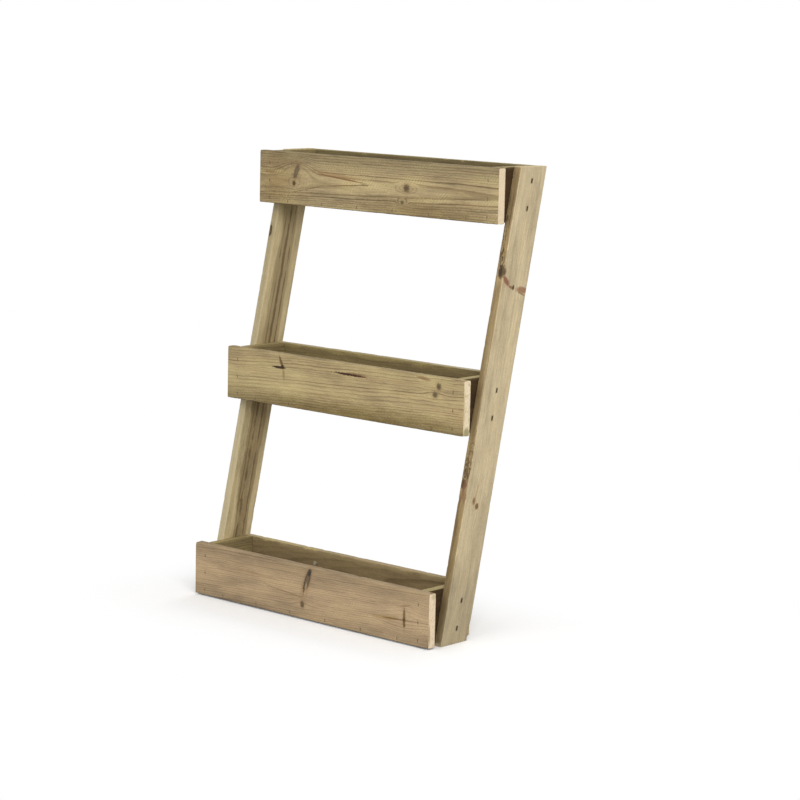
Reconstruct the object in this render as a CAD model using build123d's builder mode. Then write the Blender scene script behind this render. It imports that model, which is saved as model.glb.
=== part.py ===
from build123d import *
import os
from math import acos, atan2, cos, hypot, sin, tan

# Vertical garden planter, in millimetres: three wooden troughs nailed between two leaning side boards
# X runs along the troughs, Y towards the wall that the planter leans on, Z up
# The origin is on the floor, under the middle of the whole planter

# Overall size
overall_width = 700
overall_depth = 350
overall_height = 1000

# Trough boards
tiers = ("bottom", "middle", "top")
board_height = 118
front_thickness = 21
back_thickness = 16
end_thickness = 21
floor_thickness = 15
inner_depth = 120
arris_radius = 2.5

# Drain holes along the middle of each floor board
drain_radius = 6
drain_pitch = 110
drains_per_floor = 5

# Side boards, and how the planter stands
leg_thickness = 20
leg_width = 87
leg_setback = 40
floor_gap = 3
wall_gap = 4

# Nails with flat heads, punched a little below the wood
nail_clearance = 0.05

# Through the front and back boards, into the end boards and the edges of the floor board
board_nail_length = 45
board_nail_wire = 2
board_nail_head = 6
board_nail_sink = 0.8
end_nail_low = 12.5
front_nail_pitch = 39
front_nails_per_end = 3
back_nail_pitch = 52
back_nails_per_end = 2
floor_nail_margin = 47
floor_nails_per_row = 6

# Through each side board, into the end boards of the troughs
leg_nail_length = 37
leg_nail_wire = 3
leg_nail_head = 8
leg_nail_sink = 1.5
leg_nail_pitch = 58
leg_nails_per_end = 2

# Places that follow from the sizes
front_face = -overall_depth / 2
trough_depth = front_thickness + inner_depth + back_thickness
trough_half = overall_width / 2 - leg_thickness
floor_half = trough_half - end_thickness
tier_rise = (overall_height - floor_gap - board_height) / (len(tiers) - 1)
tier_step = (overall_depth - wall_gap - trough_depth) / (len(tiers) - 1)

# The lean that takes a side board from its setback on the floor to the wall at full height
leg_reach = overall_depth - leg_setback
lean = acos(leg_width / hypot(leg_reach, overall_height)) - atan2(overall_height, leg_reach)
leg_section = leg_width / cos(lean)


# Y of a side board's front edge at a height above the floor
def leg_front(height):
    return front_face + leg_setback + height * tan(lean)


# A nail driven down from z = 0, cut flat from wire, with its head as long as given along Y
# With a gap it is the nail's hole, which is open at the top and that much wider all round
def nail_shape(length, wire, head, sink, gap=0):
    top = 0 if gap else -sink
    neck = -sink - wire - gap
    tip = -sink - length - gap
    with BuildPart() as shape:
        with BuildSketch(Plane.YZ):
            with BuildLine():
                Polyline(
                    (-head / 2 - gap, top), (-head / 2 - gap, neck), (-wire / 2 - gap, neck),
                    (-wire / 2 - gap, tip), (wire / 2 + gap, tip), (wire / 2 + gap, neck),
                    (head / 2 + gap, neck), (head / 2 + gap, top), close=True)
            make_face()
        extrude(amount=wire / 2 + gap, both=True)
    return shape.part


board_nail_sizes = (board_nail_length, board_nail_wire, board_nail_head, board_nail_sink)
board_nail = nail_shape(*board_nail_sizes)
board_nail_hole = nail_shape(*board_nail_sizes, nail_clearance)
leg_nail_sizes = (leg_nail_length, leg_nail_wire, leg_nail_head, leg_nail_sink)
leg_nail = nail_shape(*leg_nail_sizes)
leg_nail_hole = nail_shape(*leg_nail_sizes, nail_clearance)


# Puts nails, or cuts their holes, all over a trough board whose outer face is the given plane
def nail_board(shape, face, nails_per_end, pitch, mode=Mode.ADD):
    columns = 2 * trough_half - end_thickness
    column_middle = end_nail_low + (nails_per_end - 1) * pitch / 2
    row_pitch = 2 * (floor_half - floor_nail_margin) / (floor_nails_per_row - 1)
    with Locations(face):
        with Locations((0, column_middle)), GridLocations(columns, pitch, 2, nails_per_end):
            add(shape, mode=mode)
        with Locations((0, floor_thickness / 2)), GridLocations(row_pitch, 0, floor_nails_per_row, 1):
            add(shape, mode=mode)


# Puts one trough's nails, or cuts their holes, along the middle of a side board, square to its face
def nail_leg(shape, side, underside, mode=Mode.ADD):
    across = (0, side * cos(lean), -side * sin(lean))
    for k in range(leg_nails_per_end):
        height = underside + board_height / 2 + (k - (leg_nails_per_end - 1) / 2) * leg_nail_pitch
        spot = (side * overall_width / 2, leg_front(height) + leg_section / 2, height)
        with Locations(Plane(spot, x_dir=across, z_dir=(side, 0, 0))):
            add(shape, mode=mode)


os.makedirs("parts", exist_ok=True)

for tier, name in enumerate(tiers):
    front = front_face + tier * tier_step
    inside = front + front_thickness
    back = inside + inner_depth
    rear = back + back_thickness
    underside = floor_gap + tier * tier_rise
    middle = underside + board_height / 2
    front_nailing = (
        Plane((0, front, underside), x_dir=(1, 0, 0), z_dir=(0, -1, 0)), front_nails_per_end, front_nail_pitch)
    back_nailing = (
        Plane((0, rear, underside), x_dir=(-1, 0, 0), z_dir=(0, 1, 0)), back_nails_per_end, back_nail_pitch)

    # Front board, over the full width, in front of the side boards
    with BuildPart() as front_board:
        with BuildSketch(Plane.YZ):
            with Locations((front + front_thickness / 2, middle)):
                RectangleRounded(front_thickness, board_height, arris_radius)
        extrude(amount=overall_width / 2, both=True)
        nail_board(board_nail_hole, *front_nailing, Mode.SUBTRACT)
    front_board.part.label = f"{name}_front_board"

    # Back board, between the side boards
    with BuildPart() as back_board:
        with BuildSketch(Plane.YZ):
            with Locations((back + back_thickness / 2, middle)):
                RectangleRounded(back_thickness, board_height, arris_radius)
        extrude(amount=trough_half, both=True)
        nail_board(board_nail_hole, *back_nailing, Mode.SUBTRACT)
    back_board.part.label = f"{name}_back_board"

    # Floor board, between the end boards, with its drain holes
    with BuildPart() as floor_board:
        with BuildSketch(Plane.YZ):
            with Locations((inside + inner_depth / 2, underside + floor_thickness / 2)):
                RectangleRounded(inner_depth, floor_thickness, arris_radius)
        extrude(amount=floor_half, both=True)
        with Locations((0, inside + inner_depth / 2, underside + floor_thickness)):
            with GridLocations(drain_pitch, 0, drains_per_floor, 1):
                Hole(radius=drain_radius, depth=floor_thickness)
        nail_board(board_nail_hole, *front_nailing, Mode.SUBTRACT)
        nail_board(board_nail_hole, *back_nailing, Mode.SUBTRACT)
    floor_board.part.label = f"{name}_floor_board"

    trough = [front_board, back_board, floor_board]

    # End boards, flat against the side boards
    for side, hand in ((-1, "left"), (1, "right")):
        with BuildPart() as end_board:
            with BuildSketch(Plane.XZ.offset(-inside)):
                with Locations((side * (trough_half - end_thickness / 2), middle)):
                    RectangleRounded(end_thickness, board_height, arris_radius)
            extrude(amount=-inner_depth)
            nail_board(board_nail_hole, *front_nailing, Mode.SUBTRACT)
            nail_board(board_nail_hole, *back_nailing, Mode.SUBTRACT)
            nail_leg(leg_nail_hole, side, underside, Mode.SUBTRACT)
        end_board.part.label = f"{name}_{hand}_end"
        trough.append(end_board)

    # Nails, one group for each board that they go through
    with BuildPart() as front_nails:
        nail_board(board_nail, *front_nailing)
    front_nails.part.label = f"{name}_front_nails"

    with BuildPart() as back_nails:
        nail_board(board_nail, *back_nailing)
    back_nails.part.label = f"{name}_back_nails"

    for block in (*trough, front_nails, back_nails):
        export_step(block.part, f"parts/{block.part.label}.step")

for side, hand in ((-1, "left"), (1, "right")):
    # Side board, leaning back, with both ends cut level
    with BuildPart() as leg:
        with BuildSketch(Plane.YZ.offset(side * trough_half)):
            with BuildLine():
                Polyline(
                    (leg_front(0), 0), (leg_front(0) + leg_section, 0),
                    (leg_front(overall_height) + leg_section, overall_height),
                    (leg_front(overall_height), overall_height), close=True)
            make_face()
        extrude(amount=side * leg_thickness)
        fillet(leg.edges().filter_by(Axis((0, 0, 0), (0, sin(lean), cos(lean)))), arris_radius)
        for tier in range(len(tiers)):
            nail_leg(leg_nail_hole, side, floor_gap + tier * tier_rise, Mode.SUBTRACT)
    leg.part.label = f"{hand}_leg"

    # Its nails, two into each trough
    with BuildPart() as leg_nails:
        for tier in range(len(tiers)):
            nail_leg(leg_nail, side, floor_gap + tier * tier_rise)
    leg_nails.part.label = f"{hand}_leg_nails"

    for block in (leg, leg_nails):
        export_step(block.part, f"parts/{block.part.label}.step")
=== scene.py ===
import math

import bpy
import numpy as np
from mathutils import Matrix, Vector


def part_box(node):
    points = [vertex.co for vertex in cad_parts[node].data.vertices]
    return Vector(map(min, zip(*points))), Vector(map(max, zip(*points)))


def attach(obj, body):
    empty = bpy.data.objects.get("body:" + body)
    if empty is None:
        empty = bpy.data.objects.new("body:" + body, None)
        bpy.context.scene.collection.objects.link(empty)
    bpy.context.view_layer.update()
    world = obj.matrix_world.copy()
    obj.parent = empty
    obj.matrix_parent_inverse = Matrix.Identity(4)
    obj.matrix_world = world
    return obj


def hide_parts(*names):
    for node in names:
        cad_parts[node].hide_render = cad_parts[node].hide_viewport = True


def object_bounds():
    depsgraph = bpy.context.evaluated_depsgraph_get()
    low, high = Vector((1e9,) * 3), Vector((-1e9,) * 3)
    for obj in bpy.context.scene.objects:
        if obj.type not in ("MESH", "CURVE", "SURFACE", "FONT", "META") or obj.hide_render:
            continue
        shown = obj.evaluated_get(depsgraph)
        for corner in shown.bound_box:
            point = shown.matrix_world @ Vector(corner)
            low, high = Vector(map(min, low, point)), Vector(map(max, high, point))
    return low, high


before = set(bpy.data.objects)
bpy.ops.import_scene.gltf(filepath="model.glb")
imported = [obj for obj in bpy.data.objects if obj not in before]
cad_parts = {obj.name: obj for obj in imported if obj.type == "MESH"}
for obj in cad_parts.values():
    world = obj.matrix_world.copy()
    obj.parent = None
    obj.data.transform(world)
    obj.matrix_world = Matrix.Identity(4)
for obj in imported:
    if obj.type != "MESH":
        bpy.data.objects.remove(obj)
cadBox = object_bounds()
print("frame loaded:", len(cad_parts), "nodes")

# sizes in mm, as in the model
tiers = ("bottom", "middle", "top")
trough = {"boardHeight": 118.0, "underside": 3.0, "rise": 439.5}
sideBoard = {"width": 87.0, "thickness": 20.0}
arris = 2.5
legLow, legHigh = (Vector(corner) * 1000 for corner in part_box("right_leg"))
legReach, legHeight = legHigh.y - legLow.y, legHigh.z - legLow.z
lean = math.acos(sideBoard["width"] / math.hypot(legReach, legHeight)) - math.atan2(legHeight, legReach)
legSection = sideBoard["width"] / math.cos(lean)


def legMiddle(height):  # Y of a side board's centre line at a height, in mm
    return legLow.y + legSection / 2 + height * math.tan(lean)


# a node's outlet, with the operators that add Math nodes
class Wire:
    def __init__(self, bench, socket):
        self.bench = bench
        self.socket = socket

    def maths(self, operation, *others):
        return self.bench.node("ShaderNodeMath", {"operation": operation}, dict(enumerate((self, *others))))

    def reflected(self, operation, other):
        return self.bench.node("ShaderNodeMath", {"operation": operation}, {0: other, 1: self})

    def __add__(self, other):
        return self.maths("ADD", other)

    def __sub__(self, other):
        return self.maths("SUBTRACT", other)

    def __rsub__(self, other):
        return self.reflected("SUBTRACT", other)

    def __mul__(self, other):
        return self.maths("MULTIPLY", other)

    def __truediv__(self, other):
        return self.maths("DIVIDE", other)

    def __rtruediv__(self, other):
        return self.reflected("DIVIDE", other)

    __radd__ = __add__
    __rmul__ = __mul__

    def __abs__(self):
        return self.maths("ABSOLUTE")

    def ease(self, low, high):  # 0 to 1, smoothly, as the value goes from low to high
        return self.bench.node(
            "ShaderNodeMapRange", {"interpolation_type": "SMOOTHSTEP"}, {0: self, 1: low, 2: high})

    def vector(self, operation, *others, result=0):
        return self.bench.node(
            "ShaderNodeVectorMath", {"operation": operation}, dict(enumerate((self, *others))), result)

    def scale(self, amount):
        return self.bench.node("ShaderNodeVectorMath", {"operation": "SCALE"}, {0: self, "Scale": amount})

    def outlet(self, label):  # another outlet of the same node
        return Wire(self.bench, self.socket.node.outputs[label])

    def into(self, node, label):
        self.bench.tree.links.new(self.socket, node.inputs[label])


def tint(code):  # a colour written as six hex digits, made linear
    parts = [int(code[k:k + 2], 16) / 255 for k in (0, 2, 4)]
    return (*(c / 12.92 if c <= 0.04045 else ((c + 0.055) / 1.055) ** 2.4 for c in parts), 1.0)


# one node tree, and the one method that adds a node to it
class Bench:
    def __init__(self, tree):
        self.tree = tree

    def node(self, kind, settings=None, values=None, result=0):
        made = self.tree.nodes.new(kind)
        for key, value in (settings or {}).items():
            setattr(made, key, value)
        for key, value in (values or {}).items():
            if isinstance(value, Wire):
                value.into(made, key)
            else:
                made.inputs[key].default_value = value
        return Wire(self, made.outputs[result] if len(made.outputs) else None)

    def noise(self, place, lengths, seed, detail, roughness):
        scaled = place.vector("MULTIPLY_ADD", [1 / length for length in lengths], (seed, seed * 1.7, seed * 2.3))
        return self.node(
            "ShaderNodeTexNoise", {}, {"Vector": scaled, "Scale": 1.0, "Detail": detail, "Roughness": roughness})

    def blend(self, below, above, factor, how="MIX"):  # of two colours, each a Wire, hex digits or linear values
        below, above = (tint(side) if isinstance(side, str) else side for side in (below, above))
        return self.node(
            "ShaderNodeMix", {"data_type": "RGBA", "blend_type": how}, {0: factor, 6: below, 7: above}, 2)


def show(name, data):  # puts a mesh, lamp or camera in the scene
    made = bpy.data.objects.new(name, data)
    bpy.context.scene.collection.objects.link(made)
    return made


def newMaterial(name):
    material = bpy.data.materials.new(name)
    material.use_nodes = True
    return material, Bench(material.node_tree), material.node_tree.nodes["Principled BSDF"]


# each kind of change in the wood: its lengths in mm along, across and through the board,
# its own step from the board's seed, and its noise's detail and roughness
grainNoise = {
    "sway": ((190, 80, 80), 0, 1.0, 0.5), "ripple": ((42, 13, 13), 3, 2.0, 0.5),
    "crumb": ((4.5, 3, 3), 4, 2.0, 0.5), "fibre": ((26, 1.3, 1.3), 5, 3.0, 0.7),
    "streak": ((70, 2.2, 2.2), 7, 3.0, 0.75), "band": ((230, 9, 9), 8, 2.0, 0.55),
    "cloud": ((150, 34, 34), 9, 1.5, 0.5), "blotch": ((60, 17, 17), 10, 2.0, 0.5),
    "fleck": ((11, 1.5, 1.5), 11, 1.0, 0.5), "fuzz": ((1.3, 1.3, 1.3), 13, 2.0, 0.7),
    "mottle": ((12, 8, 4), 15, 2.0, 0.5)}

# what a board, a knot and a mark have unless their own dictionaries say otherwise
plainWood = {
    "castShare": 0.4, "deepShare": 0.35, "edgeShare": 0.35, "cutShare": 0.3,
    "fibre": 0.9, "streak": 0.6, "band": 0.6, "cloud": 1.0, "blotch": 0.45, "crumb": 0.3, "fleck": 0.14,
    "sawing": 0.04, "sawPitch": 6.2, "relief": 0.0008,
    "shade": {}, "faces": (), "knots": (), "marks": (), "cutMarks": ()}
plainKnot = {
    "turn": 0, "share": 0.85, "shell": 0.5, "halo": 0.4, "sweep": 3.4, "spread": 1.9, "grip": 0.8,
    "ragged": 0.5, "rough": 0.7}
plainMark = {"turn": 0, "share": 0.8, "core": 0.5, "ragged": 0.8, "rough": 0.6, "dent": 0.5, "how": "MIX"}
plainFace = {"how": "MULTIPLY", "vary": 0, "share": 1.0}

years = {  # growth rings: their uneven width, where late wood starts and ends in a ring, and its faintest share
    "unevenOver": 26, "uneven": 2.2, "lateFrom": (0.45, 0.9), "lateTo": (1.0, 0.93), "faintest": 0.25}
sawBlade = {"along": 0.77, "across": 0.64, "wander": 9}
markDepth, wholeDepth = 14, 1e5  # mm that a mark, or a knot, reaches into the wood
fades = {  # where a tone or a part of a knot is still absent, and where it is full
    "cast": (-0.1, 0.2), "deep": (0.02, 0.3), "sawing": (0.0, 0.16), "fleck": (0.1, 0.28), "flow": (1.6, 0.1),
    "shell": (0.4, 0.05), "eye": (1.15, 0.8), "rim": (0.35, 0.95), "halo": (2.4, 0.9), "loop": (-0.1, 0.7),
    "face": (1.9, 0.5), "fuzz": (-0.05, 0.3), "mottle": (-0.02, 0.2), "cutMark": (1.15, 0.4)}


def timber(name, board, look):
    # board says how it lies: its centre in mm, and the directions along, across and through it
    look = {**plainWood, **look}
    halfLong, halfWide, halfThick = board["half"]
    material, bench, shader = newMaterial(name)
    spot = bench.node("ShaderNodeTexCoord", result="Object")
    along, across, through = axes = [
        spot.vector("DOT_PRODUCT", [c * 1000 for c in axis], result="Value") - Vector(axis).dot(board["centre"])
        for axis in board["axes"]]
    place = bench.node("ShaderNodeCombineXYZ", {}, {0: along, 1: across, 2: through})
    noises = {
        kind: bench.noise(place, lengths, look["seed"] + step, detail, roughness) - 0.5
        for kind, (lengths, step, detail, roughness) in grainNoise.items()}
    sway, ripple, crumb, fibre, streak, band, cloud, blotch, fleck, fuzz, mottle = noises.values()

    def patch(mark, depth):  # distance from a mark's middle, 1 at its edge
        values = {
            "Vector": place, "Location": (*mark["at"], halfThick)[:3], "Scale": (*mark["size"], depth)[:3],
            "Rotation": (0, 0, math.radians(mark["turn"]))}
        return bench.node("ShaderNodeMapping", {"vector_type": "TEXTURE"}, values).vector("LENGTH", result="Value")

    # growth rings, as distances from a pith line that slants past the board
    pithAcross, pithThrough = look["pith"]
    drift, climb = look["slant"]
    ringAcross = across + sway * look["sway"] + ripple * look["ripple"] - (along * drift + pithAcross)
    ringThrough = through - (along * climb + pithThrough)
    rings = bench.node("ShaderNodeCombineXYZ", {}, {1: ringAcross, 2: ringThrough}).vector("LENGTH", result="Value")

    # the grain runs round each knot
    knots = []
    for knot in ({**plainKnot, **own} for own in look["knots"]):
        u, v = knot["at"][:2]
        widest = max(knot["size"][:2])
        swept = {"at": (u, v), "size": (widest * knot["sweep"], widest * knot["spread"]), "turn": 0}
        ringThere = math.hypot(v - drift * u - pithAcross, -climb * u - pithThrough)
        rings = rings + (ringThere - rings) * patch(swept, wholeDepth).ease(*fades["flow"]) * knot["grip"]
        knots.append((knot, patch(knot, wholeDepth) + ripple * knot["ragged"] + crumb * knot["rough"]))
    uneven = bench.node(
        "ShaderNodeTexNoise", {"noise_dimensions": "1D"},
        {"W": rings / years["unevenOver"] + look["seed"], "Scale": 1.0, "Detail": 1.0})
    count = rings / look["pitch"] + uneven * years["uneven"]
    year = bench.node(
        "ShaderNodeTexWhiteNoise", {"noise_dimensions": "1D"}, {"W": count.maths("FLOOR") + look["seed"]}, "Value")
    phase = count.maths("FRACT")
    late = phase.ease(*years["lateFrom"]) * phase.ease(*years["lateTo"])
    late = late * (year * (1 - years["faintest"]) + years["faintest"])

    # the tones of the wood: rings, patches, streaks, and the darker wood of the log's middle
    colour = bench.blend(look["pale"], look["late"], late * look["contrast"])
    colour = bench.blend(colour, look["cast"], (cloud + blotch * 0.5).ease(*fades["cast"]) * look["castShare"])
    colour = bench.blend(colour, look["deep"], (streak + band).ease(*fades["deep"]) * look["deepShare"])
    if "core" in look:
        radius, soft = look["core"]["radius"], look["core"]["soft"]
        core = (rings + ripple * 10).ease(radius + soft, radius - soft)
        colour = bench.blend(colour, look["core"]["tone"], core * (streak * 2.2 + 0.75).ease(0, 1))

    # lighter and darker with fibres, saw marks and flecks, and towards the edges and the foot
    sawn = (along * sawBlade["along"] - across * sawBlade["across"]) * (math.tau / look["sawPitch"])
    sawing = (sawn + ripple * sawBlade["wander"]).maths("SINE") * (blotch + cloud).ease(*fades["sawing"])
    sawing = sawing * look["sawing"]
    light = 1 + sawing - fleck.ease(*fades["fleck"]) * look["fleck"]
    for kind in ("fibre", "streak", "band", "cloud", "blotch", "crumb"):
        light = light + noises[kind] * look[kind]
    shade = look["shade"]
    for side, edge in ((1, "top"), (-1, "bottom")):
        if edge in shade:
            depth = (across * side + cloud * 40).ease(halfWide - shade["width"], halfWide)
            light = light * (1 - depth * shade[edge])
    if "foot" in shade:
        light = light * (1 - (along + cloud * 90).ease(shade["footFrom"], -halfLong) * shade["foot"])
    colour = colour.scale(light)

    # a face can differ from the rest of its board, in its own colour, and for undersides, inner faces, recesses and
    # top rims in painted shade and painted light
    for face in ({**plainFace, **own} for own in look["faces"]):
        axis, sign = face["on"]
        cover = (axes[axis] * sign).ease(*(board["half"][axis] - inside for inside in fades["face"]))
        cover = cover * (band * face["vary"] + face["share"]).ease(0, 1)
        colour = bench.blend(colour, face["tone"], cover, face["how"])

    # knots, then the other marks: slits, streaks and stains in the wood, broad darker patches, and bands of painted
    # light along the top of back boards
    bump = fibre * 0.5 + late * 0.35 + streak * 0.6 + sawing * 3
    for knot, away in knots:
        shell = abs(away - 0.95).ease(*fades["shell"])
        eye = away.ease(*fades["eye"])
        turns = (away * 15 + crumb * 6).maths("SINE") * 0.5 + 0.5
        heart = bench.blend(knot["heart"], knot["rim"], away.ease(*fades["rim"]) * 0.7 + turns * 0.3)
        colour = bench.blend(colour, look["deep"], away.ease(*fades["halo"]) * knot["halo"])
        colour = bench.blend(colour, heart, eye * knot["share"])
        colour = bench.blend(colour, knot["rim"], shell * knot["shell"])
        bump = bump + eye * turns * 0.4 - shell * 0.7
    for mark in ({**plainMark, **own} for own in look["marks"]):
        away = patch(mark, markDepth) + ripple * mark["ragged"] + fibre * 0.5 + crumb * mark["rough"]
        cover = away.ease(1.15, mark["core"]) * mark["share"]
        if "loops" in mark:  # the closed loops that the rings make where they just touch a face
            cover = cover * (away * (mark["loops"] * math.tau)).maths("SINE").ease(*fades["loop"])
        colour = bench.blend(colour, mark["tone"], cover, mark["how"])
        bump = bump - cover * mark["dent"]

    # arrises, cut ends and nail stains, as each board's mesh has them
    wear = bench.node("ShaderNodeAttribute", {"attribute_name": "wear"}, {}, "Color")
    worn = bench.node("ShaderNodeSeparateColor", {}, {0: wear})
    cut, rubbed, stain = (worn.outlet(k) for k in range(3))
    rubbed = rubbed * (streak * 2 + band * 2 + 0.4).ease(0, 1)
    colour = bench.blend(colour, look["edge"], rubbed * look["edgeShare"])
    endGrain = bench.blend(look["cutPale"], look["cutLate"], late * 0.7 + fuzz.ease(*fades["fuzz"]) * 0.4)
    endGrain = bench.blend(endGrain, look["cutCast"], mottle.ease(*fades["mottle"]) * look["cutShare"])
    for mark in ({**plainMark, **own} for own in look["cutMarks"]):
        away = patch(mark, wholeDepth) + mottle * 1.4
        endGrain = bench.blend(endGrain, mark["tone"], away.ease(*fades["cutMark"]) * mark["share"])
    colour = bench.blend(colour, endGrain, cut)
    colour = bench.blend(colour, look["stain"], stain)
    bump = bump + cut * fuzz * 1.2

    colour.into(shader, "Base Color")
    (0.88 - late * 0.14 + fibre * 0.14).into(shader, "Roughness")
    shader.inputs["Specular IOR Level"].default_value = 0.3
    bench.node(
        "ShaderNodeBump", {}, {"Height": bump, "Distance": look["relief"], "Strength": 0.8}).into(shader, "Normal")
    return material


# board meshes: lattices with rounded arrises, worn and nailed
tableSize = 53
noiseTable = np.random.default_rng(17).random((tableSize,) * 3)


def softNoise(points, lengths, seed):  # smooth seeded noise from -1 to 1 at each point
    scaled = points / np.asarray(lengths, float) + seed * np.array([3.17, 5.71, 7.93])
    cell = np.floor(scaled).astype(int)
    part = scaled - cell
    part = part * part * (3 - 2 * part)
    total = np.zeros(len(points))
    for corner in np.ndindex(2, 2, 2):
        weight = np.prod(np.where(corner, part, 1 - part), axis=1)
        total += weight * noiseTable[tuple(((cell + corner) % tableSize).T)]
    return total * 2 - 1


def gridLines(half, step, fine, special=()):
    # places of the lattice's lines, closer at both ends, with lines put in round each special place
    inner = half - fine[-1]
    count = max(2, round(2 * inner / step))
    regular = np.linspace(-inner, inner, count + 1)
    edges = np.array([half - f for f in fine[:-1]])
    special = np.array(sorted(special))
    if len(special):
        crowded = np.abs(regular[:, None] - special[None, :]).min(axis=1) < 0.35 * step
        crowded[[0, -1]] = False
        regular = regular[~crowded]
    return np.unique(np.round(np.concatenate([-edges, regular, special, edges]), 4))


def quadGrid(grid):  # faces of a sheet of points, whose first axis crossed with its second points out
    corners = (grid[:-1, :-1], grid[1:, :-1], grid[1:, 1:], grid[:-1, 1:])
    return np.stack(corners, -1).reshape(-1, 4)


def latticeShell(lines):  # the six faces of a box of lattice points, as points and quads
    sizes = [len(line) for line in lines]
    shell = np.ones(sizes, bool)
    shell[1:-1, 1:-1, 1:-1] = False
    number = np.full(sizes, -1)
    number[shell] = np.arange(shell.sum())
    where = np.argwhere(shell)
    points = np.stack([lines[k][where[:, k]] for k in range(3)], 1)
    quads = [
        quadGrid(number[:, :, -1]), quadGrid(number[:, :, 0].T), quadGrid(number[:, -1, :].T),
        quadGrid(number[:, 0, :]), quadGrid(number[-1, :, :]), quadGrid(number[0, :, :].T)]
    return points, np.concatenate(quads)


# a drain hole's rim: how far each ring is drawn in to the circle, its width against the hole's, its drop in mm
holeRim = ((0.4, 1.08, 0), (0.75, 1.08, 0), (1, 1.08, 0.05), (1, 1.02, 0.45), (1, 1, 1.2))


def punchHoles(points, quads, holes, half):
    # opens a round hole through the board at each place along it, with a worn rim
    window = holes["radius"] * 1.9
    for place in holes["at"]:
        rims = []
        for side in (1, -1):
            face = np.isclose(points[:, 2], side * half[2])
            inside = face & (np.abs(points[:, 0] - place) < window) & (np.abs(points[:, 1]) < window)
            hit = inside[quads].any(axis=1) & face[quads].all(axis=1)
            directed = {(int(a), int(b)) for quad in quads[hit] for a, b in zip(quad, np.roll(quad, -1))}
            following = {a: b for a, b in directed if (b, a) not in directed}
            quads = quads[~hit]
            loop = [max(following, key=lambda k: points[k, 0] + points[k, 1])]
            while following[loop[-1]] != loop[0]:
                loop.append(following[loop[-1]])
            turn = math.pi / 4 + side * np.arange(len(loop)) * math.tau / len(loop)
            circle = np.stack([np.cos(turn), np.sin(turn), np.zeros(len(loop))], 1) * holes["radius"]
            middle = np.array([place, 0, side * half[2]])
            rings = [np.array(loop)]
            for share, wide, drop in holeRim:
                ring = points[loop] * (1 - share) + (middle + circle * wide) * share
                ring[:, 2] -= side * drop
                rings.append(np.arange(len(points), len(points) + len(loop)))
                points = np.concatenate([points, ring])
            for outer, inner in zip(rings[:-1], rings[1:]):
                strip = np.stack([outer, np.roll(outer, -1), np.roll(inner, -1), inner], 1)
                quads = np.concatenate([quads, strip])
            rims.append(rings[-1])
        top, bottom = rims[0], np.roll(rims[1][::-1], 1)
        quads = np.concatenate([quads, np.stack([top, np.roll(top, -1), np.roll(bottom, -1), bottom], 1)])
    used, quads = np.unique(quads, return_inverse=True)
    return points[used], quads.reshape(-1, 4)


def buildMesh(name, points, quads, wear, material):
    mesh = bpy.data.meshes.new(name)
    mesh.vertices.add(len(points))
    mesh.vertices.foreach_set("co", np.ascontiguousarray(points, np.float32).ravel())
    mesh.loops.add(quads.size)
    mesh.loops.foreach_set("vertex_index", np.ascontiguousarray(quads, np.int32).ravel())
    mesh.polygons.add(len(quads))
    mesh.polygons.foreach_set("loop_start", np.arange(0, quads.size, 4, dtype=np.int32))
    mesh.update(calc_edges=True)
    layer = mesh.color_attributes.new("wear", "FLOAT_COLOR", "POINT")
    layer.data.foreach_set("color", np.concatenate([wear, np.ones((len(wear), 1))], 1).astype(np.float32).ravel())
    mesh.validate()
    mesh.shade_smooth()
    mesh.set_sharp_from_angle(angle=math.radians(55))
    mesh.materials.append(material)
    return show(name, mesh)


boardFine = (0, 0.3, 0.7, 1.2, 1.8, arris)  # mm from an edge of the board to the lattice's first lines
plainFine = (0, 0.4, 1.1, arris)
endFine = (0, 0.25, 0.8)
plainFinish = {"fine": boardFine, "chips": 2.2, "bites": (), "nails": ()}
wearing = {  # depths in mm, and the lengths in mm along, across and through the board over which they change
    "planed": 0.10, "hollow": 0.09, "hollowOver": (90, 40, 40), "dip": 0.05, "dipOver": (16, 8, 8),
    "chipOver": (17, 5, 5), "chipsFrom": 0.42, "nibble": 0.14, "nibbleOver": (5.5, 4, 4), "arrisReach": 2.6,
    "biteOver": (4, 4, 4), "eased": 0.8, "easedIn": 0.75, "torn": 0.9, "tornOver": (9, 2.6, 2.6),
    "tornReach": 1.3, "sawn": 0.10, "sawnOver": (9, 5, 5)}
pocket = {"clear": 0.3, "rims": ((0.1, None), (0.4, 0.22), (1.1, 0.04)), "lines": (0.05, 0.3, 1.0)}  # round a nail


def frameFor(node, axes):
    low, high = (Vector(corner) * 1000 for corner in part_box(node))
    half = [abs((high - low).dot(Vector(axis))) / 2 for axis in axes]
    return {"centre": (low + high) / 2, "axes": axes, "half": half}


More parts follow.
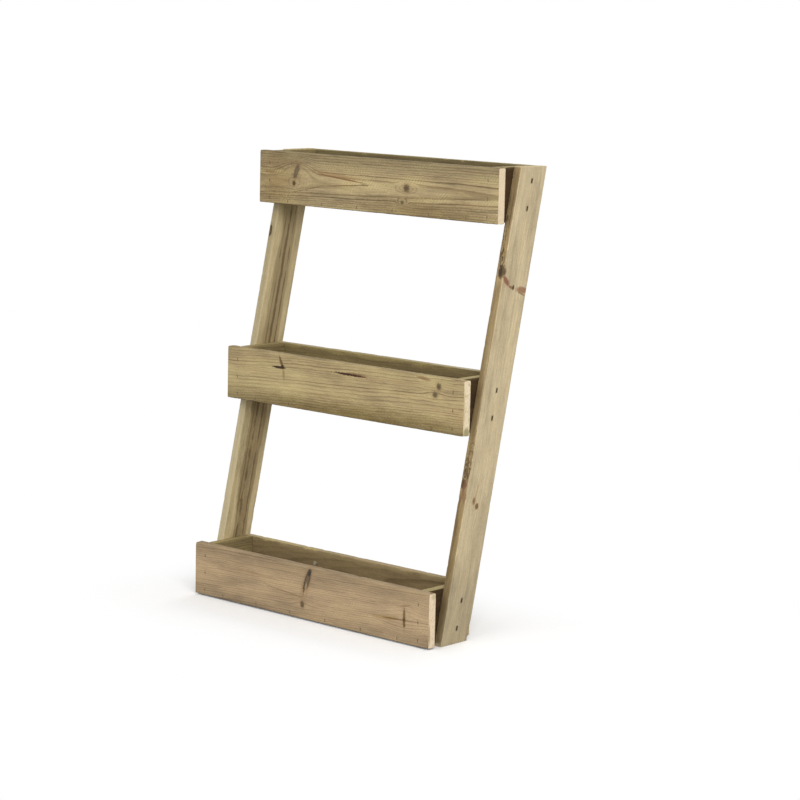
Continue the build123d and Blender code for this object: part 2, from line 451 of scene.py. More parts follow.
def board(node, lie, look, finish):
    # one board, made at the middle of its own directions, then laid in its place
    # it lies along the directions in lie, where lie isn't already a whole frame
    name = node.removesuffix("_board") + "_timber"
    frameOf = lie if isinstance(lie, dict) else frameFor(node, lie)
    finish = {**plainFinish, **finish}
    half = np.array(frameOf["half"], float)
    special = ([], [])
    for nail in finish["nails"]:
        for axis in (0, 1):
            core = nail["head"][axis] / 2
            special[axis].extend(
                c + s * (core + d) for c in {at[axis] for at in nail["at"]} for s in (-1, 1) for d in pocket["lines"])
    points, quads = latticeShell((
        gridLines(half[0], finish["step"][0], endFine, special[0]),
        gridLines(half[1], finish["step"][1], finish["fine"], special[1]),
        gridLines(half[2], finish["step"][2], finish["fine"])))
    if "holes" in finish:
        points, quads = punchHoles(points, quads, finish["holes"], half)
    rest = points.copy()
    seed = look["seed"]

    # the square section becomes one with rounded arrises
    inset = np.clip((np.abs(points[:, 1:]) - (half[1:] - arris)) / arris, 0, 1)
    turned = inset * np.sqrt(1 - inset[:, ::-1] ** 2 / 2)
    rounding = (inset > 0).all(axis=1)
    points[:, 1:] = np.where(
        rounding[:, None], np.sign(rest[:, 1:]) * (half[1:] - arris + arris * turned), points[:, 1:])
    outward = np.where(rounding[:, None], turned, (inset >= 1).astype(float)) * np.sign(rest[:, 1:])
    outward /= np.maximum(np.linalg.norm(outward, axis=1, keepdims=True), 1e-9)
    skin = (np.abs(rest) >= half - 1e-4)
    side = skin[:, 1] | skin[:, 2]

    # worn faces and arrises; nothing moves out past the model's faces
    corner = np.linalg.norm(np.maximum(half[1:] - np.abs(rest[:, 1:]) - arris * 0.4, 0), axis=1)
    nearArris = np.exp(-(corner / wearing["arrisReach"]) ** 2)
    shallow = wearing["planed"] + wearing["hollow"] * softNoise(rest, wearing["hollowOver"], seed)
    shallow += wearing["dip"] * softNoise(rest, wearing["dipOver"], seed + 1)
    chips = np.clip(softNoise(rest, wearing["chipOver"], seed + 2) - wearing["chipsFrom"], 0, 1) * finish["chips"]
    nibble = wearing["nibble"] * (1 + softNoise(rest, wearing["nibbleOver"], seed + 3))
    depth = np.maximum(shallow, 0) + nearArris * (chips + nibble)
    for bite in finish["bites"]:
        near = np.linalg.norm((rest - np.array(bite["at"])) / np.array(bite["size"]), axis=1)
        ragged = 1 + 0.5 * softNoise(rest, wearing["biteOver"], seed + 6)
        depth += bite["depth"] * np.exp(-near ** 2) * ragged
    points[:, 1:] -= outward * (depth * side)[:, None]

    # sawn ends: slightly eased, with torn fibres along their edges
    fromEnd = half[0] - np.abs(rest[:, 0])
    eased = np.clip(wearing["eased"] - fromEnd, 0, wearing["eased"])
    shrink = wearing["eased"] - np.sqrt(np.maximum(wearing["eased"] ** 2 - eased ** 2, 0))
    points[:, 1:] *= 1 - shrink[:, None] * wearing["easedIn"] / half[1:]
    nearEdge = np.exp(-(np.minimum(*(half[1:] - np.abs(rest[:, 1:])).T) / wearing["tornReach"]) ** 2)
    torn = np.abs(softNoise(rest, wearing["tornOver"], seed + 4)) * wearing["torn"] * nearEdge
    sawn = wearing["sawn"] * (1 + softNoise(rest, wearing["sawnOver"], seed + 5))
    points[:, 0] -= np.sign(rest[:, 0]) * skin[:, 0] * (torn + np.maximum(sawn, 0))

    # nail heads stand in pockets below the wood
    stain = np.zeros(len(points))
    for nail in finish["nails"]:
        face = skin[:, 2] & (np.sign(rest[:, 2]) == nail["face"])
        for u, v in nail["at"]:
            du = np.abs(rest[:, 0] - u) - nail["head"][0] / 2
            dv = np.abs(rest[:, 1] - v) - nail["head"][1] / 2
            down = np.select(
                [np.maximum(du, dv) < reach for reach, _ in pocket["rims"]],
                [nail["sink"] + pocket["clear"] if drop is None else drop for _, drop in pocket["rims"]], 0)
            points[:, 2] -= nail["face"] * face * down
            spread = np.hypot(np.maximum(du, 0), np.maximum(dv, 0)) / nail["halo"]
            stain = np.maximum(stain, face * np.exp(-spread ** 2) * nail["stain"])
    wear = np.stack([skin[:, 0] * 1.0, nearArris * side, stain], 1)

    if "lay" in frameOf:
        placed = frameOf["lay"](points)
    else:
        placed = np.array(frameOf["centre"]) + points @ np.array(frameOf["axes"])
    piece = buildMesh(name, placed / 1000, quads, wear, timber(name + "_wood", frameOf, look))
    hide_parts(node)
    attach(piece, "root")


darkWood = "3A2A1A"

# Treated pine: the colours of its early and late wood, of its patches and of its cut ends. The pith is the log's
# middle, in mm across and through the board, slant is how it drifts along it, and pitch is one year's width in mm.
# Marks and knots stand at mm along, across and through the board, and their sizes are half of their reach.
frontLook = {
    "pale": "AB9872", "late": "6A5537", "cast": "A09468", "deep": "7E6743",
    "edge": "A3926A", "cutPale": "EFDCBD", "cutLate": "D8BE96", "cutCast": "E2D0A8",
    "stain": "4A3824", "contrast": 0.8, "pitch": 4.6, "sway": 12, "ripple": 2.6,
    "shade": {"top": 0.16, "bottom": 0.16, "width": 34},
    # painted shade: each front board's underside and lower arris, darker where they face down
    "faces": [{"on": (1, -1), "tone": "7C6C52", "share": 0.95}]}
frontPlans = {
    "bottom": {
        "seed": 4.0, "pith": (-150, -50), "slant": (0.03, 0.03), "pitch": 4.4, "contrast": 0.72,
        "pale": "B39B7A", "late": "7C6044", "cast": "A8926C", "deep": "8A6E4E",
        "cutCast": "C9AE84", "cutShare": 0.55, "streak": 0.35, "fibre": 0.7, "castShare": 0.3,
        "shade": {"top": 0.27, "bottom": 0.18, "width": 46},
        "cutMarks": [{"at": (350, -30, 8), "size": (9, 26, 3), "tone": "9A7B55", "share": 0.7},
                     {"at": (350, 52, -4), "size": (9, 9, 8), "tone": "B7A67C", "share": 0.6}]},
    "middle": {
        "seed": 11.0, "pith": (-110, -60), "slant": (0.03, 0.02), "pitch": 5.3, "contrast": 0.85, "streak": 0.45,
        "pale": "B09C73", "shade": {"top": 0.08, "bottom": 0.3, "width": 44},
        "cutCast": "B9B080", "cutShare": 0.7,
        "cutMarks": [{"at": (350, -52, 0), "size": (9, 14, 12), "tone": "8C8556"},
                     {"at": (350, 0, 9), "size": (9, 50, 3.5), "tone": "C4B587"}]},
    "top": {
        "seed": 23.0, "pith": (-6, -46), "slant": (0.01, -0.008), "pitch": 3.1, "contrast": 1.0,
        "sway": 6, "ripple": 2.2, "cutPale": "E6D2B2", "cutLate": "D0B68E",
        "shade": {"top": 0.36, "bottom": 0.12, "width": 46}, "sawing": 0.1, "cloud": 1.2}}
frontBites = {  # corners worn round
    "bottom": [{"at": (350, 59, 6), "size": (7, 7, 12), "depth": 3.0},
               {"at": (350, -59, 6), "size": (6, 6, 12), "depth": 2.6},
               {"at": (-350, 59, 8), "size": (5, 5, 8), "depth": 1.4}],
    "middle": [{"at": (350, 59, 8), "size": (4, 4, 7), "depth": 1.5},
               {"at": (350, -59, 8), "size": (4, 4, 7), "depth": 1.4}],
    "top": [{"at": (350, -59, 8), "size": (4, 4, 7), "depth": 1.4}]}
frontKnots = {
    "bottom": [
        {"at": (-2, 27), "size": (6.8, 25), "turn": -20, "heart": "685A46", "rim": "4A3C2C",
         "sweep": 1.5, "spread": 0.7, "grip": 0.3, "halo": 0.6},
        {"at": (-15, -27), "size": (5, 6.5), "heart": "5A4C35", "rim": "65543A", "sweep": 5},
        {"at": (281, -4), "size": (2.6, 18), "heart": "75603A", "rim": "5E4826",
         "share": 0.75, "grip": 0.6, "halo": 0.5}],
    "middle": [
        {"at": (280, 39), "size": (5.5, 6.5), "heart": "3E3424", "rim": "6E5F42", "sweep": 5},
        {"at": (270, 21), "size": (6.5, 6), "heart": "4A3F2C", "rim": "75664A", "sweep": 5}],
    "top": [
        {"at": (-236, 16), "size": (5.5, 15), "turn": -22, "heart": "665C4B", "rim": "5B4E3E", "share": 0.75},
        {"at": (-243, -10), "size": (4, 5.5), "heart": "4A3A28", "rim": "5F4C34", "sweep": 3, "grip": 0.5},
        {"at": (93, 1), "size": (8, 7.5), "heart": "453727", "rim": "6E5C41", "spread": 1.4, "grip": 0.85},
        {"at": (82, -31), "size": (4.2, 3.6), "heart": "4C4C34", "rim": "73684A", "share": 0.75, "halo": 0.3}]}
frontMarks = {
    "bottom": [
        {"at": (247, -11), "size": (34, 2.2), "turn": 4, "tone": "584020", "share": 0.95, "core": 0.4},
        {"at": (281, -9), "size": (6, 5.5), "tone": "5C4626", "share": 0.9},
        {"at": (282, -20), "size": (4, 4.5), "tone": "65502C", "share": 0.85},
        {"at": (228, -11), "size": (48, 5.5), "turn": 4, "tone": "967A48", "share": 0.5, "dent": 0},
        {"at": (5, 46), "size": (6.5, 9.5), "turn": -15, "tone": "38342F", "share": 0.9},
        {"at": (281, 22), "size": (22, 2), "turn": 12, "tone": "7A6038", "share": 0.5, "dent": 0},
        {"at": (-160, 18), "size": (70, 4), "turn": -2, "tone": "8D7048", "share": 0.35, "dent": 0},
        {"at": (-60, -8), "size": (70, 2), "turn": -5, "tone": "7A5E3C", "share": 0.5, "dent": 0},
        {"at": (-6, 8), "size": (3.5, 18), "turn": -12, "tone": "C9B080", "share": 0.4, "dent": 0}],
    "middle": [
        {"at": (-188, 27.8), "size": (21, 3.0), "turn": 1, "tone": "38281A", "share": 1.0, "core": 0.7},
        {"at": (-183, 42), "size": (4.2, 18), "turn": 24, "tone": "5E4A2C", "share": 0.9, "dent": 0.2},
        {"at": (-174, 13), "size": (5, 18), "turn": 5, "tone": "857448", "share": 0.75, "dent": 0},
        {"at": (46, 37), "size": (34, 5), "turn": -2, "tone": "755638", "share": 0.7},
        {"at": (18, 35.5), "size": (50, 3.0), "turn": -0.6, "tone": "40291A", "share": 1.0, "core": 0.7,
         "rough": 1.2},
        {"at": (238, 52), "size": (22, 4.5), "turn": -8, "tone": "7A563C", "share": 0.65, "dent": 0},
        {"at": (-178, 29), "size": (6, 5), "tone": "2A1C12", "share": 0.9, "core": 0.6},
        {"at": (-130, -12), "size": (120, 44), "tone": "C8B986", "share": 0.16, "dent": 0, "core": 0.0},
        {"at": (40, -58), "size": (560, 42), "tone": "BDB48E", "share": 0.85, "dent": 0, "core": 0.0,
         "how": "MULTIPLY"}],
    "top": [
        {"at": (-100, 9.5), "size": (92, 2.0), "turn": -5.2, "tone": "6F5032", "share": 0.85, "dent": 0.1},
        {"at": (-110, 15), "size": (80, 5), "turn": -5, "tone": "8E6C42", "share": 0.45, "dent": 0},
        {"at": (-88, -5.5), "size": (72, 1.6), "turn": 4.2, "tone": "6B5638", "share": 0.75, "dent": 0},
        {"at": (-203, -21), "size": (60, 1.5), "turn": 12, "tone": "6B5638", "share": 0.65, "dent": 0},
        {"at": (-30, -1), "size": (18, 2.6), "tone": "5F4A30", "share": 0.6, "dent": 0},
        {"at": (-320, 12), "size": (26, 3), "tone": "7A5A38", "share": 0.6, "dent": 0},
        {"at": (150, -48), "size": (260, 34), "tone": "C6BDA8", "share": 0.7, "dent": 0, "core": 0.0,
         "how": "MULTIPLY"},
        {"at": (-300, -10), "size": (110, 90), "tone": "D2C6B2", "share": 0.7, "dent": 0, "core": 0.0,
         "how": "MULTIPLY"}]}

innerLook = {
    "pale": "A89769", "late": "746341", "cast": "9C9160", "deep": "786644",
    "edge": "94875C", "cutPale": "C9B68C", "cutLate": "A68F62", "cutCast": "A59A6A",
    "stain": darkWood, "contrast": 0.7, "pitch": 5.2, "sway": 14, "ripple": 3.0, "relief": 0.0010, "castShare": 0.25,
    "cloud": 0.7, "sawing": 0.07, "sawPitch": 5.0}
# the back boards' inner faces are multiplied darker as painted shade inside the troughs, and the bottom and middle
# ones' top faces are mixed lighter as painted light where they face up
backPlans = {
    "bottom": {
        "seed": 31.0, "pith": (20, -60), "slant": (0.02, 0.03), "pale": "A8946C",
        "faces": [{"on": (2, 1), "tone": "BCB6B2"},
                  {"on": (1, 1), "tone": "B8AC92", "share": 0.7, "how": "MIX"}],
        "marks": [
            # painted light: the band along the top of the inner face, where light falls in over the front board,
            # lighter than the painted shade below it
            {"at": (0, 59, 4), "size": (420, 13, 30), "tone": "93825C", "share": 0.7, "dent": 0, "ragged": 1.2,
             "rough": 1.2},
            {"at": (-200, 60, 0), "size": (120, 6, 30), "tone": "BDAA72", "share": 0.6, "dent": 0, "ragged": 3},
            {"at": (120, 60, 0), "size": (150, 5, 30), "tone": "A6906C", "share": 0.6, "dent": 0, "ragged": 3},
            {"at": (-111, 28, 8), "size": (7, 7, 6), "tone": "A39C88", "share": 0.75, "ragged": 2.0},
            {"at": (-107, 24, 8), "size": (4, 5, 6), "tone": "55503C"}]},
    "middle": {
        "seed": 36.0, "pith": (-90, -50), "slant": (0.02, 0.02), "pale": "A59468",
        "faces": [{"on": (2, 1), "tone": "B2AEA8"},
                  {"on": (1, 1), "tone": "C4BA9E", "share": 0.75, "how": "MIX"}],
        # painted light: the band along the top of the inner face, where light falls in over the front board
        "marks": [{"at": (-60, 59, 4), "size": (330, 11, 30), "tone": "938455", "share": 0.7, "dent": 0,
                   "ragged": 1.5, "rough": 1.2}]},
    "top": {"seed": 41.0, "pith": (-20, -60), "slant": (0.02, 0.03), "pale": "A29266",
            "faces": [{"on": (2, 1), "tone": "ACA9A7"}]}}
insideShade = "CBC8C4"
endPlans = {  # inner faces in painted shade; the right ones' outer faces, seen in the narrow recess between the front board's end and the side board, get the darkest painted shade of all
    "left": {"faces": [{"on": (2, 1), "tone": insideShade}, {"on": (1, 1), "tone": "E4DFCC", "share": 0.6}]},
    # painted shade: the right end's outer face in its recess, and each end's inner face
    "right": {"faces": [{"on": (2, 1), "tone": "685643"}, {"on": (2, -1), "tone": insideShade}]}}

lying = {  # the directions along, across and out of a board
    "front": ((1, 0, 0), (0, 0, 1), (0, -1, 0)), "back": ((-1, 0, 0), (0, 0, 1), (0, 1, 0)),
    "end": ((0, 1, 0), (0, 0, 1), (1, 0, 0)), "floor": ((1, 0, 0), (0, 1, 0), (0, 0, 1))}
drains = {"radius": 6.0, "at": [k * 110.0 for k in (-2, -1, 0, 1, 2)]}
nailRows = {  # mm sideways from a board's middle, and mm up from its lower edge
    "ends": 319.5, "frontHeights": (12.5, 51.5, 90.5), "backHeights": (12.5, 64.5),
    "floorReach": 262, "floorCount": 6, "floorHeight": 7.5, "legSpread": 29}
halfBoard = trough["boardHeight"] / 2


def nailSpots(heights):  # into the ends, then into the floor board's edge
    row = np.linspace(-nailRows["floorReach"], nailRows["floorReach"], nailRows["floorCount"])
    ends = [(side * nailRows["ends"], z - halfBoard) for side in (-1, 1) for z in heights]
    return ends + [(float(x), nailRows["floorHeight"] - halfBoard) for x in row]


frontNails, backNails = nailSpots(nailRows["frontHeights"]), nailSpots(nailRows["backHeights"])
# a nail head's size along and across its board, how deep it stands, and the stain round it
boardPocket = {"head": (2.0, 6.0), "sink": 0.8, "halo": 0.5, "stain": 0.3}
legPocket = {"head": (7.8, 3.1), "sink": 1.5, "halo": 1.4, "stain": 0.95}

for index, tier in enumerate(tiers):
    board(
        f"{tier}_front_board", lying["front"],
        {**frontLook, **frontPlans[tier], "knots": frontKnots[tier], "marks": frontMarks[tier]},
        {"step": (2.6, 2.6, 3.5), "slot": "front_timber", "bites": frontBites[tier],
         "nails": [{**boardPocket, "face": 1, "at": frontNails}]})
    board(
        f"{tier}_back_board", lying["front"], {**innerLook, "cloud": 0.8, **backPlans[tier]},
        {"step": (3.6, 3.6, 4), "slot": "inner_timber", "chips": 3.4,
         "nails": [{**boardPocket, "face": -1, "at": backNails}]})
    board(
        f"{tier}_floor_board", lying["floor"],
        {**innerLook, "seed": 51.0 + index * 5, "pith": (-10 + index * 12, 50), "slant": (0.02, 0.03),
         "faces": [{"on": (2, 1), "tone": insideShade}]},
        {"fine": plainFine, "step": (4, 4, 4), "slot": "inner_timber", "holes": drains})
    for hand, side in (("left", -1), ("right", 1)):
        board(
            f"{tier}_{hand}_end", lying["end"],
            {**innerLook, **endPlans[hand], "seed": 71.0 + index * 5 + side, "pith": (10, -55 * side),
             "slant": (0.03, 0.05)},
            {"step": (3, 3, 3.5), "slot": "inner_timber", "chips": 2.8})
    print(tier, "trough boards made")

legLook = {
    "pale": "C6B592", "late": "9F8A65", "cast": "C0B08A", "deep": "B39C76",
    "edge": "B5A680", "edgeShare": 0.2, "cutPale": "D6C49A", "cutLate": "B59B6E",
    "cutCast": "B5A87E", "stain": darkWood, "contrast": 0.6, "pitch": 6.0, "sway": 22, "ripple": 3.4,
    "streak": 0.4, "fibre": 0.8, "cloud": 0.6, "sawing": 0.02, "band": 0.35}
legPlans = {
    "left": {
        "seed": 93.0, "pith": (0, 16), "slant": (0.012, 0.0), "core": {"radius": 24, "soft": 3, "tone": "85724F"},
        "pale": "B5A47C", "deep": "8F7B55", "contrast": 0.8, "streak": 1.3,
        "faces": [{"on": (1, 1), "tone": "B7AB8B", "share": 0.65, "how": "MIX", "vary": 0.9}],
        "marks": [
            {"at": (260, 43.5, 0), "size": (300, 4, 16), "tone": "E1DDD6", "share": 1.0, "how": "MULTIPLY",
             "core": 0.2, "dent": 0},
            {"at": (250, 0, 10), "size": (280, 80, 8), "tone": "BBAA82", "share": 0.28, "core": 0.2, "dent": 0},
            {"at": (100, 2, 10), "size": (520, 4, 8), "turn": -0.3, "tone": "5E4A30", "share": 0.75,
             "dent": 0, "ragged": 3},
            {"at": (40, -14, 10), "size": (520, 2.5, 8), "turn": 0.2, "tone": "66523A", "share": 0.75,
             "dent": 0, "ragged": 3},
            {"at": (0, 14, 10), "size": (480, 2, 8), "turn": 0.1, "tone": "6B5638", "share": 0.6,
             "dent": 0, "ragged": 3}],
        "knots": [
            {"at": (314, 43.5, -5.5), "size": (11, 8, 4.5), "heart": "5A482E", "rim": "4A3A24", "shell": 0.8}]},
    "right": {
        "seed": 101.0, "pith": (-160, -60), "slant": (0.012, -0.02), "pitch": 6.6, "castShare": 0.2, "contrast": 0.4,
        "shade": {"footFrom": -250, "foot": 0.24},
        "faces": [{"on": (1, 1), "tone": "B3A892", "share": 0.9, "vary": 1.8}],
        "marks": [
            {"at": (258, 28, 10), "size": (15, 15, 5), "turn": -20, "tone": "B08A6C", "share": 0.55, "dent": 0,
             "core": 0.1},
            {"at": (262, 30, 10), "size": (6.5, 18, 6), "turn": -34, "tone": "80543E", "share": 0.85},
            {"at": (251, 10, 10), "size": (3.5, 11, 6), "turn": -10, "tone": "80583F"},
            {"at": (251, -28, 10), "size": (8, 23, 6), "turn": 4, "tone": "906449", "share": 0.85, "ragged": 0.4},
            {"at": (243, -27, 10), "size": (2.0, 17, 6), "turn": -10, "tone": "5E3E2E", "share": 0.6},
            {"at": (252, 2.5, 10), "size": (6.5, 4, 6), "tone": "4A3826", "share": 0.9},
            {"at": (305, 43.5, 1), "size": (30, 4, 9), "tone": "46341F", "share": 0.95, "loops": 2.0,
             "core": 0.95, "ragged": 1.0, "rough": 0.5},
            {"at": (352, 43.5, -5), "size": (64, 4, 9), "tone": "533F28", "share": 0.85, "loops": 2.0,
             "core": 0.95, "ragged": 1.4, "rough": 0.5},
            {"at": (330, 43, 4), "size": (22, 6, 3), "tone": "A08A5E", "share": 0.6, "ragged": 2, "dent": 0},
            {"at": (400, 43, 3), "size": (60, 6, 1.6), "tone": "6B543A", "share": 0.6, "ragged": 2},
            {"at": (215, 43, -2), "size": (45, 6, 1.6), "tone": "6B543A", "share": 0.5, "ragged": 2},
            {"at": (-390, 43, -5), "size": (150, 6, 6), "tone": "6E5C3E", "share": 0.55, "core": 0.2,
             "ragged": 2, "dent": 0},
            {"at": (60, 43, -6), "size": (170, 6, 5), "tone": "75613F", "share": 0.5, "core": 0.2,
             "ragged": 2, "dent": 0},
            {"at": (-118, 43.5, 4), "size": (34, 3, 9), "tone": "5C4529", "share": 0.75, "loops": 2.2,
             "core": 0.95, "ragged": 1.6, "rough": 0.6},
            {"at": (-155, 43.5, -2), "size": (34, 3, 10), "tone": "46341F", "share": 0.85, "loops": 2.4,
             "core": 0.95, "ragged": 1.6, "rough": 0.6},
            {"at": (-195, 43, 2), "size": (24, 5, 9), "tone": "7E5A40", "share": 0.7, "ragged": 3},
            {"at": (-262, 43, -4), "size": (40, 5, 5), "tone": "6B5233", "share": 0.6, "ragged": 3},
            {"at": (-300, 43.5, -6), "size": (120, 4, 5), "tone": "665233", "share": 0.5, "ragged": 2, "dent": 0},
            {"at": (-330, 43, 3), "size": (30, 5, 4), "tone": "75603C", "share": 0.5, "ragged": 3},
            {"at": (-190, 10, 10), "size": (30, 3, 5), "turn": -8, "tone": "A98F66", "share": 0.6, "dent": 0}],
        "knots": [
            {"at": (279, 43, 4), "size": (14, 9, 8), "heart": "2C2118", "rim": "4E3B27", "share": 0.95,
             "sweep": 2.4, "grip": 0.5},
            {"at": (-175, 44, -2), "size": (10, 6, 6), "heart": "3A2A1C", "rim": "5F482C", "share": 0.9},
            {"at": (-207, 14, 10), "size": (7, 4.5, 8), "heart": "6A5336", "rim": "8A7048", "sweep": 4, "halo": 0.4},
            {"at": (-217, 2, 10), "size": (6, 5, 8), "heart": "5E482E", "rim": "83683F", "sweep": 4, "halo": 0.4}]}}
legBites = {
    "left": [],
    "right": [{"at": (-477, -44.5, 10), "size": (10, 7, 9), "depth": 2.6},
              {"at": (-499, -44.5, 10), "size": (9, 9, 9), "depth": 3.4},
              {"at": (-500, 43.5, 3), "size": (8, 8, 16), "depth": 3.2}]}
nailHeights = [  # from the side board's middle
    trough["underside"] + index * trough["rise"] + halfBoard + s * nailRows["legSpread"] - legHeight / 2
    for index in range(len(tiers)) for s in (-1, 1)]


def legFrame(middle):  # how a side board lies, at an X; its ends are level, so its points are laid sheared
    def lay(points):
        height = points[:, 0] + legHeight / 2
        return np.stack([middle + points[:, 2], legMiddle(height) - points[:, 1] / math.cos(lean), height], 1)

    return {
        "centre": Vector((middle, legMiddle(legHeight / 2), legHeight / 2)), "lay": lay,
        "axes": ((0, math.sin(lean), math.cos(lean)), (0, -math.cos(lean), math.sin(lean)), (1, 0, 0)),
        "half": (legHeight / 2, sideBoard["width"] / 2, sideBoard["thickness"] / 2)}


for hand, side in (("left", -1), ("right", 1)):
    board(
        f"{hand}_leg", legFrame(side * (legHigh.x - sideBoard["thickness"] / 2)),
        {**legLook, **legPlans[hand]},
        {"step": (2.8, 2.8, 3.5), "slot": "leg_timber", "bites": legBites[hand],
         "nails": [{**legPocket, "face": side, "at": [(height, 0.0) for height in nailHeights]}]})
print("side boards made")


def nailSteel(name, bright, rusty, pitted):
    material, bench, shader = newMaterial(name)
    spot = bench.node("ShaderNodeTexCoord", result="Object").scale(1000)
    patch = bench.noise(spot, (1.6, 1.6, 1.6), 2.0, 3.0, 0.6)
    grit = bench.noise(spot, (0.35, 0.35, 0.35), 6.0, 2.0, 0.6)
    rust = patch.ease(0.4, 0.62)
    colour = bench.blend(bench.blend(bright, rusty, rust), pitted, grit.ease(0.5, 0.8) * 0.6)
    colour.into(shader, "Base Color")
    (0.85 - rust * 0.75).into(shader, "Metallic")
    (0.5 + rust * 0.35).into(shader, "Roughness")
    bench.node("ShaderNodeBump", {}, {"Height": patch + grit * 0.5, "Distance": 0.0002}).into(shader, "Normal")
    return material


def nailTree():
    # a flat-headed wire nail put down at every point, its head square to the point's own direction
    tree = bpy.data.node_groups.new("nailsAtPoints", "GeometryNodeTree")
    face = tree.interface
    face.new_socket(name="Geometry", in_out="INPUT", socket_type="NodeSocketGeometry")
    for label in ("Length", "Wire", "Head", "Sink", "Twist"):
        face.new_socket(name=label, in_out="INPUT", socket_type="NodeSocketFloat")
    face.new_socket(name="Seed", in_out="INPUT", socket_type="NodeSocketInt")
    face.new_socket(name="Steel", in_out="INPUT", socket_type="NodeSocketMaterial")
    face.new_socket(name="Geometry", in_out="OUTPUT", socket_type="NodeSocketGeometry")
    bench = Bench(tree)
    given = bench.node("NodeGroupInput")
    length, wire, head, sink, twist = (given.outlet(label) for label in ("Length", "Wire", "Head", "Sink", "Twist"))

    def block(size, lift, rows, pinchFrom, pinchTo, pinch):
        # a square bar that draws in between two heights
        wide, longest, tall = size
        cube = bench.node("GeometryNodeMeshCube", {}, {
            "Size": bench.node("ShaderNodeCombineXYZ", {}, {0: wide, 1: longest, 2: tall}),
            "Vertices X": 3, "Vertices Y": 3, "Vertices Z": rows})
        shift = bench.node("ShaderNodeCombineXYZ", {}, {2: lift})
        lifted = bench.node("GeometryNodeTransform", {}, {"Geometry": cube, "Translation": shift})
        position = bench.node("GeometryNodeInputPosition")
        height = bench.node("ShaderNodeSeparateXYZ", {}, {0: position}, 2)
        draw = bench.node("ShaderNodeMapRange", {}, {0: height, 1: pinchFrom, 2: pinchTo, 3: 1.0, 4: pinch})
        drawn = position.vector("MULTIPLY", bench.node("ShaderNodeCombineXYZ", {}, {0: draw, 1: draw, 2: 1.0}))
        return bench.node("GeometryNodeSetPosition", {}, {"Geometry": lifted, "Position": drawn})

    top = sink * -1
    foot = top - length
    shankTall = length - wire
    headBlock = block((wire, head, wire), top - wire / 2, 3, top - wire / 2, top, 0.82)
    shank = block((wire, wire, shankTall), top - wire - shankTall / 2, 12, foot + wire * 2, foot, 0.25)
    joined = bench.node("GeometryNodeJoinGeometry", {}, {0: headBlock})
    shank.into(joined.socket.node, 0)
    facing = bench.node("GeometryNodeInputNamedAttribute", {"data_type": "FLOAT_VECTOR"}, {"Name": "facing"})
    placed = bench.node("GeometryNodeInstanceOnPoints", {}, {
        "Points": given.outlet("Geometry"), "Instance": joined, "Rotation": facing})
    spin = bench.node(
        "FunctionNodeRandomValue", {"data_type": "FLOAT"},
        {"Min": twist * -1, "Max": twist, "Seed": given.outlet("Seed")}, 1)
    turned = bench.node("GeometryNodeRotateInstances", {}, {
        "Instances": placed, "Rotation": bench.node("ShaderNodeCombineXYZ", {}, {2: spin}), "Local Space": True})
    real = bench.node("GeometryNodeRealizeInstances", {}, {"Geometry": turned})
    steel = bench.node("GeometryNodeSetMaterial", {}, {"Geometry": real, "Material": given.outlet("Steel")})
    bench.node("NodeGroupOutput", {}, {"Geometry": steel})
    return tree


def nails(name, places, sizes, tree, material, nodes):
    # a piece with one nail at each place, which is a spot in mm and the nail's own directions
    mesh = bpy.data.meshes.new(name + "_places")
    mesh.from_pydata([tuple(c / 1000 for c in spot) for spot, _ in places], [], [])
    facing = mesh.attributes.new("facing", "FLOAT_VECTOR", "POINT")
    for k, (_, axes) in enumerate(places):
        facing.data[k].vector = Matrix(axes).transposed().to_euler()
    carrier = show(name + "_places", mesh)
    modifier = carrier.modifiers.new("nails", "NODES")
    modifier.node_group = tree
    values = {**sizes, "Steel": material}
    for item in tree.interface.items_tree:
        if item.in_out == "INPUT" and item.name in values:
            modifier[item.identifier] = values[item.name]
    graph = bpy.context.evaluated_depsgraph_get()
    made = bpy.data.meshes.new_from_object(carrier.evaluated_get(graph))
    carrier.modifiers.remove(modifier)
    bpy.data.objects.remove(carrier)
    piece = show(name, made)
    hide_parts(*nodes)
    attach(piece, "root")


# metres, as the tree's inputs
boardNail = {"Length": 0.045, "Wire": 0.002, "Head": 0.006, "Sink": 0.0008, "Twist": math.radians(2), "Seed": 5}
legNail = {"Length": 0.037, "Wire": 0.003, "Head": 0.008, "Sink": 0.0015, "Twist": math.radians(2), "Seed": 9}
boardPlaces, legPlaces = [], []
for tier in tiers:
    frontLow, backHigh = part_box(f"{tier}_front_board")[0] * 1000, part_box(f"{tier}_back_board")[1] * 1000
    middle = frontLow.z + halfBoard
    boardPlaces += [((x, frontLow.y, middle + z), lying["front"]) for x, z in frontNails]
    boardPlaces += [((x, backHigh.y, middle + z), lying["back"]) for x, z in backNails]
up = Vector((0, math.sin(lean), math.cos(lean)))
for side in (-1, 1):
    out = Vector((side, 0, 0))
    for height in nailHeights:
        z = height + legHeight / 2
        legPlaces.append(((side * legHigh.x, legMiddle(z), z), (up.cross(out), up, out)))
dullSteel = nailSteel("nail_steel_dull", "8C806C", "7A6044", "54432F")
darkSteel = nailSteel("nail_steel_dark", "5A5146", "543C28", "32261A")
tree = nailTree()
nails("board_nails", boardPlaces, boardNail, tree, dullSteel,
      [f"{tier}_{face}_nails" for tier in tiers for face in ("front", "back")])
nails("side_board_nails", legPlaces, legNail, tree, darkSteel, ["left_leg_nails", "right_leg_nails"])
print("nails made")

# the floor: a disc that looks white, except for the object's shadow close to where it stands
floorSize = {"radius": 9.0, "sides": 96}
footprint = {"halfWide": cadBox[1][0], "middle": -0.06, "halfDeep": 0.115, "shadowReach": 0.3, "shadowGlow": 0.1}


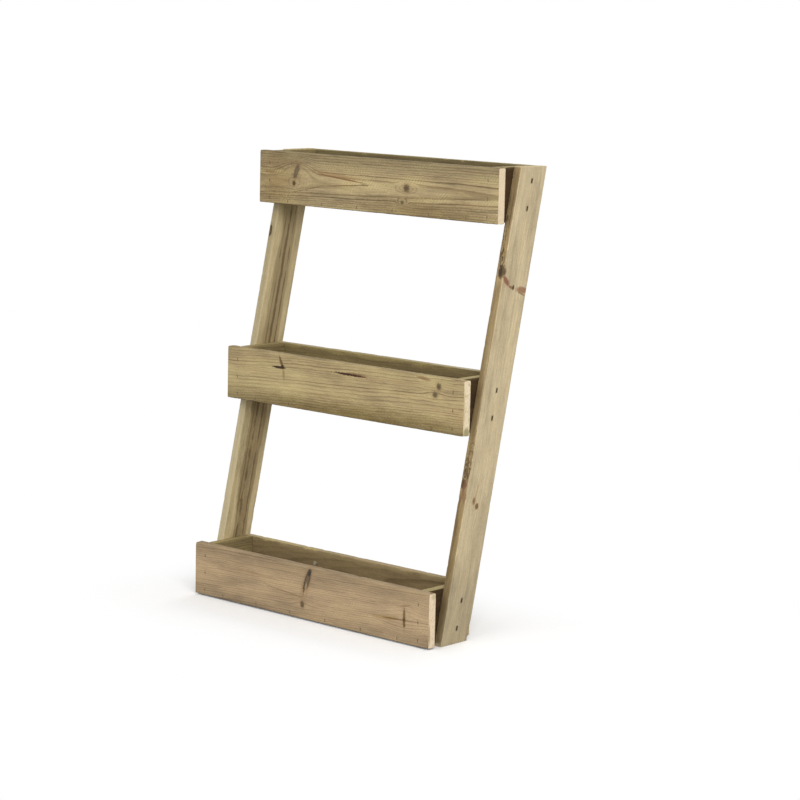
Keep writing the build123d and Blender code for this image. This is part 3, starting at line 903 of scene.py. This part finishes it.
def paleFloor():
    material, bench, shader = newMaterial("pale_floor")
    parts = bench.node("ShaderNodeSeparateXYZ", {}, {0: bench.node("ShaderNodeTexCoord", result="Object")})
    beside = (abs(parts) - footprint["halfWide"]).maths("MAXIMUM", 0.0)
    before = (abs(parts.outlet("Y") - footprint["middle"]) - footprint["halfDeep"]).maths("MAXIMUM", 0.0)
    away = (beside * beside + before * before).maths("SQRT")
    shader.inputs["Roughness"].default_value = 0.9
    shader.inputs["Specular IOR Level"].default_value = 0.1
    path = bench.node("ShaderNodeLightPath", result="Is Camera Ray")
    bench.blend((0.5, 0.5, 0.5, 1), (0.98, 0.98, 0.98, 1), path).into(shader, "Base Color")
    glow = bench.node("ShaderNodeEmission", {}, {"Color": (1, 1, 1, 1), "Strength": 1.0})
    share = path * (
        away.ease(0.0, footprint["shadowReach"]) * (1 - footprint["shadowGlow"]) + footprint["shadowGlow"])
    mixed = bench.node("ShaderNodeMixShader", {}, {0: share, 1: Wire(bench, shader.outputs[0]), 2: glow})
    mixed.into(material.node_tree.nodes["Material Output"], "Surface")
    return material


floorMesh = bpy.data.meshes.new("floor")
floorMesh.from_pydata([
    (floorSize["radius"] * math.cos(a), floorSize["radius"] * math.sin(a), 0.0)
    for a in np.linspace(0, math.tau, floorSize["sides"], endpoint=False)], [], [tuple(range(floorSize["sides"]))])
floorMesh.materials.append(paleFloor())
floor = show("floor", floorMesh)

# a room whose walls look white, but light the object less than that
roomLight = 0.58
world = bpy.data.worlds.new("studio")
world.use_nodes = True
bpy.context.scene.world = world
air = Bench(world.node_tree)
backdrop = world.node_tree.nodes["Background"]
path = air.node("ShaderNodeLightPath", result="Is Camera Ray")
seen = path.maths("MAXIMUM", path.outlet("Is Glossy Ray").maths("MAXIMUM", path.outlet("Is Transmission Ray")))
backdrop.inputs["Color"].default_value = (1, 1, 1, 1)
(seen * (1 - roomLight) + roomLight).into(backdrop, "Strength")

lampTarget = Vector((0, 0, 0.5))
lamps = {
    "key": {"at": (2.9, -2.3, 2.4), "size": 2.2, "power": 105, "warmth": (1.0, 0.99, 0.975)},
    "front": {"at": (0.3, -4.0, 2.2), "size": 2.8, "power": 46, "warmth": (1.0, 0.995, 0.99)},
    "rear": {"at": (-1.0, 3.6, 2.6), "size": 2.6, "power": 38, "warmth": (1.0, 1.0, 1.0)}}
for name, lamp in lamps.items():
    data = bpy.data.lights.new(name, "AREA")
    data.shape, data.size = "DISK", lamp["size"]
    data.energy, data.color = lamp["power"], lamp["warmth"]
    light = show(name, data)
    light.location = lamp["at"]
    light.rotation_euler = (lampTarget - light.location).to_track_quat("-Z", "Y").to_euler()

view = {  # the photo's viewpoint: the camera's own directions, its place in metres and its lens in mm
    "right": (0.74753, 0.663826, 0.023089), "up": (-0.120205, 0.101011, 0.987597),
    "back": (0.65326, -0.741034, 0.155303), "at": (3.69274, -4.07405, 1.33648), "lens": 113.766}
cameraData = bpy.data.cameras.new("camera")
cameraData.sensor_width, cameraData.lens = 36.0, view["lens"]
camera = show("camera", cameraData)
camera.matrix_world = Matrix.Translation(view["at"]) @ Matrix(
    (view["right"], view["up"], view["back"])).transposed().to_4x4()
bpy.context.scene.camera = camera
bpy.context.scene.view_settings.view_transform = "Standard"
print("floor, light and camera set")
